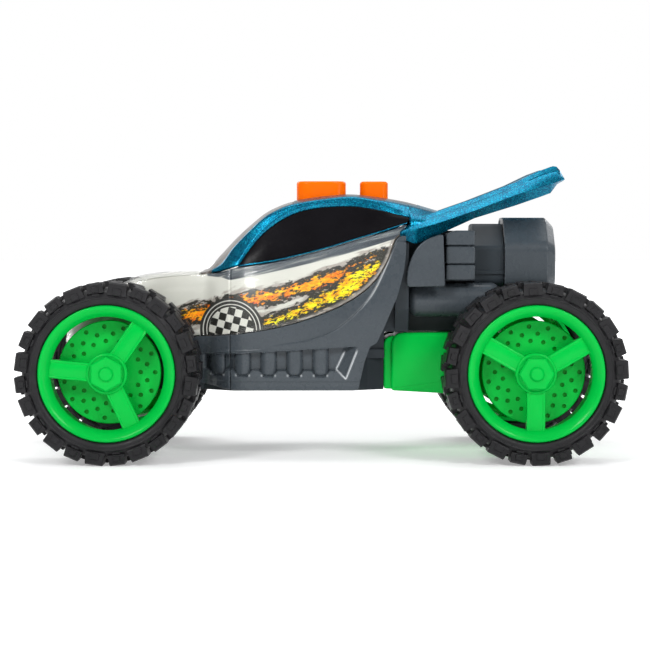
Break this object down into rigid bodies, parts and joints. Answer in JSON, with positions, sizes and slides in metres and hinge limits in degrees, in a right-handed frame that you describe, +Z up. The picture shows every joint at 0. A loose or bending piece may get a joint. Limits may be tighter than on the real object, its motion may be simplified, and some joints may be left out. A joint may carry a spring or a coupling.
{
  "type": "toy stunt car",
  "caption": "Motor-driven toy stunt buggy with roof push buttons, lugged tyres, spoked wheels, clear body covers and a swept rear spoiler.",
  "frame": {"origin": "on the ground under the middle of the wheelbase, on the centre plane", "axes": "+X to the tail, +Y to the car's right-hand side, +Z up"},
  "size_m": [0.31, 0.15, 0.1529],
  "materials": {
    "tyre_rubber": "satin black rubber",
    "rim_green": "bright green moulded plastic",
    "body_grey": "slate grey moulded plastic",
    "chassis_dark": "dark grey moulded plastic",
    "clear_cover": "clear gloss polycarbonate",
    "printed_insert": "pale plastic with a printed streak pattern",
    "pale_insert": "pale grey plastic",
    "window_black": "gloss black",
    "screen_bronze": "smoked brown-grey gloss",
    "metallic_blue": "metallic flake blue lacquer",
    "button_orange": "orange moulded plastic",
    "steel": "bright steel",
    "gear_nylon": "natural nylon",
    "circuit_board": "green laminate",
    "cell_wrap": "printed cell wrap",
    "spring_steel": "spring wire"
  },
  "bodies": {
    "car": {"axle_bushes": "gear_nylon", "battery_box": "chassis_dark", "battery_cells": "cell_wrap", "battery_contacts": "steel", "battery_door": "chassis_dark", "body_screws": "steel", "button_board": "circuit_board", "chassis_tub": "chassis_dark", "control_board": "circuit_board", "drive_housing_left": "rim_green", "drive_housing_right": "rim_green", "engine_core": "chassis_dark", "engine_end_cap": "body_grey", "gear_pin": "steel", "large_button_spring": "spring_steel", "main_body": "body_grey", "motor": "steel", "nose_cover": "clear_cover", "nose_insert": "pale_insert", "nose_lower": "body_grey", "power_switch_body": "chassis_dark", "quarter_shield_left": "body_grey", "quarter_shield_right": "body_grey", "roof_frame": "metallic_blue", "side_cover_left": "clear_cover", "side_cover_right": "clear_cover", "side_insert_left": "printed_insert", "side_insert_right": "printed_insert", "side_tank_left": "body_grey", "side_tank_right": "body_grey", "side_window_left": "window_black", "side_window_right": "window_black", "small_button_spring": "spring_steel", "speaker": "chassis_dark", "spoiler": "metallic_blue", "vent_stack_left": "body_grey", "vent_stack_right": "body_grey", "windscreen_roof_panel": "screen_bronze"},
    "front_wheels": {"front_axle": "steel", "front_hub_nuts": "rim_green", "front_left_rim": "rim_green", "front_left_disc": "rim_green", "front_left_tyre": "tyre_rubber", "front_right_rim": "rim_green", "front_right_disc": "rim_green", "front_right_tyre": "tyre_rubber"},
    "rear_wheels": {"rear_axle": "steel", "rear_hub_nuts": "rim_green", "rear_left_rim": "rim_green", "rear_left_disc": "rim_green", "rear_left_tyre": "tyre_rubber", "rear_right_rim": "rim_green", "rear_right_disc": "rim_green", "rear_right_tyre": "tyre_rubber", "axle_gear": "gear_nylon"},
    "compound_gear": {"compound_gear": "gear_nylon"},
    "motor_pinion": {"motor_pinion": "gear_nylon"},
    "large_button": {"large_button": "button_orange"},
    "small_button": {"small_button": "button_orange"},
    "power_switch_knob": {"power_switch_knob": "chassis_dark"}
  },
  "joints": [
    {"name": "front_axle_spin", "type": "hinge", "parent": "car", "child": "front_wheels", "pos_m": [-0.1085, 0, 0.0465], "axis": [0, 1, 0], "continuous": true},
    {"name": "rear_axle_spin", "type": "hinge", "parent": "car", "child": "rear_wheels", "pos_m": [0.1085, 0, 0.0465], "axis": [0, 1, 0], "continuous": true},
    {"name": "compound_gear_spin", "type": "hinge", "parent": "car", "child": "compound_gear", "pos_m": [0.095, 0, 0.0465], "axis": [0, 1, 0], "continuous": true},
    {"name": "motor_pinion_spin", "type": "hinge", "parent": "car", "child": "motor_pinion", "pos_m": [0.082, 0, 0.0465], "axis": [0, 1, 0], "continuous": true},
    {"name": "large_button_press", "type": "slide", "parent": "car", "child": "large_button", "axis": [0, 0, -1], "range_m": [0, 0.0025], "stiffness_N_per_m": 400, "springref_m": -0.001, "deforming": ["large_button_spring"]},
    {"name": "small_button_press", "type": "slide", "parent": "car", "child": "small_button", "axis": [0, 0, -1], "range_m": [0, 0.0025], "stiffness_N_per_m": 300, "springref_m": -0.001, "deforming": ["small_button_spring"]},
    {"name": "power_switch_slide", "type": "slide", "parent": "car", "child": "power_switch_knob", "axis": [1, 0, 0], "range_m": [0, 0.003]}
  ],
  "couplings": [
    {"joint": "compound_gear_spin", "follows": "rear_axle_spin", "ratio": -3.5},
    {"joint": "motor_pinion_spin", "follows": "rear_axle_spin", "ratio": 14.7}
  ]
}
